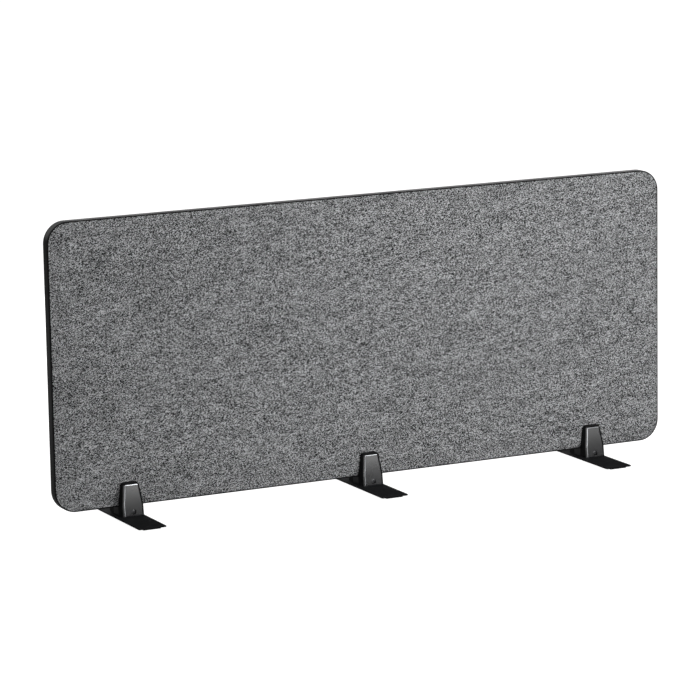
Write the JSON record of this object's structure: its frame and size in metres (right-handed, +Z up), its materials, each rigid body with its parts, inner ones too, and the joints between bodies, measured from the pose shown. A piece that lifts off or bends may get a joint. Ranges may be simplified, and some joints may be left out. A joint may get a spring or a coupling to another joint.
{
  "type": "acoustic divider screen",
  "caption": "Low free-standing acoustic screen: felt-faced rounded panel in a black edge band, gripped by clamp feet with flat steel plates that slide along it.",
  "frame": {"origin": "on the floor plane, under the middle of the panel", "axes": "+X along the panel to its right end seen from the front, +Y to the rear, +Z up"},
  "size_m": [1.6, 0.33, 0.695],
  "materials": {
    "felt_grey": "heather grey pressed felt",
    "edge_band_black": "satin black",
    "frame_pine": "planed, bare",
    "dowel_beech": "fluted, bare",
    "absorber_wool": "matt fibre wool",
    "plate_black": "fine black powder coat",
    "jaw_charcoal": "satin charcoal",
    "block_black": "matt black",
    "rubber_black": "matt",
    "steel_zinc": "zinc plated",
    "bolt_dark": "blackened steel"
  },
  "bodies": {
    "panel": {"edge_band": "edge_band_black", "front_felt": "felt_grey", "rear_felt": "felt_grey", "top_rail": "frame_pine", "bottom_rail": "frame_pine", "left_stile": "frame_pine", "right_stile": "frame_pine", "left_mullion": "frame_pine", "right_mullion": "frame_pine", "frame_dowels": "dowel_beech", "left_absorber": "absorber_wool", "middle_absorber": "absorber_wool", "right_absorber": "absorber_wool"},
    "left_foot": {"left_base_plate": "plate_black", "left_floor_pads": "rubber_black", "left_saddle": "block_black", "left_saddle_strip": "rubber_black", "left_front_jaw": "jaw_charcoal", "left_front_liner": "rubber_black", "left_fixing_screws": "steel_zinc", "left_guide_pins": "steel_zinc", "left_clamp_washer": "steel_zinc"},
    "left_jaw": {"left_rear_jaw": "jaw_charcoal", "left_rear_liner": "rubber_black", "left_clamp_nut": "steel_zinc"},
    "left_bolt": {"left_clamp_bolt": "bolt_dark"},
    "middle_foot": {"middle_base_plate": "plate_black", "middle_floor_pads": "rubber_black", "middle_saddle": "block_black", "middle_saddle_strip": "rubber_black", "middle_front_jaw": "jaw_charcoal", "middle_front_liner": "rubber_black", "middle_fixing_screws": "steel_zinc", "middle_guide_pins": "steel_zinc", "middle_clamp_washer": "steel_zinc"},
    "middle_jaw": {"middle_rear_jaw": "jaw_charcoal", "middle_rear_liner": "rubber_black", "middle_clamp_nut": "steel_zinc"},
    "middle_bolt": {"middle_clamp_bolt": "bolt_dark"},
    "right_foot": {"right_base_plate": "plate_black", "right_floor_pads": "rubber_black", "right_saddle": "block_black", "right_saddle_strip": "rubber_black", "right_front_jaw": "jaw_charcoal", "right_front_liner": "rubber_black", "right_fixing_screws": "steel_zinc", "right_guide_pins": "steel_zinc", "right_clamp_washer": "steel_zinc"},
    "right_jaw": {"right_rear_jaw": "jaw_charcoal", "right_rear_liner": "rubber_black", "right_clamp_nut": "steel_zinc"},
    "right_bolt": {"right_clamp_bolt": "bolt_dark"}
  },
  "joints": [
    {"name": "left_foot_slide", "type": "slide", "parent": "panel", "child": "left_foot", "axis": [1, 0, 0], "range_m": [-0.1, 0.24]},
    {"name": "middle_foot_slide", "type": "slide", "parent": "panel", "child": "middle_foot", "axis": [1, 0, 0], "range_m": [-0.25, 0.25]},
    {"name": "right_foot_slide", "type": "slide", "parent": "panel", "child": "right_foot", "axis": [1, 0, 0], "range_m": [-0.23, 0.115]},
    {"name": "left_bolt_turn", "type": "hinge", "parent": "left_foot", "child": "left_bolt", "pos_m": [-0.619, -0.0372, 0.015], "axis": [0, -1, 0], "range_deg": [0, 2160]},
    {"name": "left_jaw_slide", "type": "slide", "parent": "left_foot", "child": "left_jaw", "axis": [0, 1, 0], "range_m": [0, 0.006]},
    {"name": "middle_bolt_turn", "type": "hinge", "parent": "middle_foot", "child": "middle_bolt", "pos_m": [-0.002, -0.0372, 0.015], "axis": [0, -1, 0], "range_deg": [0, 2160]},
    {"name": "middle_jaw_slide", "type": "slide", "parent": "middle_foot", "child": "middle_jaw", "axis": [0, 1, 0], "range_m": [0, 0.006]},
    {"name": "right_bolt_turn", "type": "hinge", "parent": "right_foot", "child": "right_bolt", "pos_m": [0.605, -0.0372, 0.015], "axis": [0, -1, 0], "range_deg": [0, 2160]},
    {"name": "right_jaw_slide", "type": "slide", "parent": "right_foot", "child": "right_jaw", "axis": [0, 1, 0], "range_m": [0, 0.006]}
  ],
  "couplings": [
    {"joint": "left_bolt_turn", "follows": "left_jaw_slide", "rad_per_m": 6283.2},
    {"joint": "middle_bolt_turn", "follows": "middle_jaw_slide", "rad_per_m": 6283.2},
    {"joint": "right_bolt_turn", "follows": "right_jaw_slide", "rad_per_m": 6283.2}
  ]
}
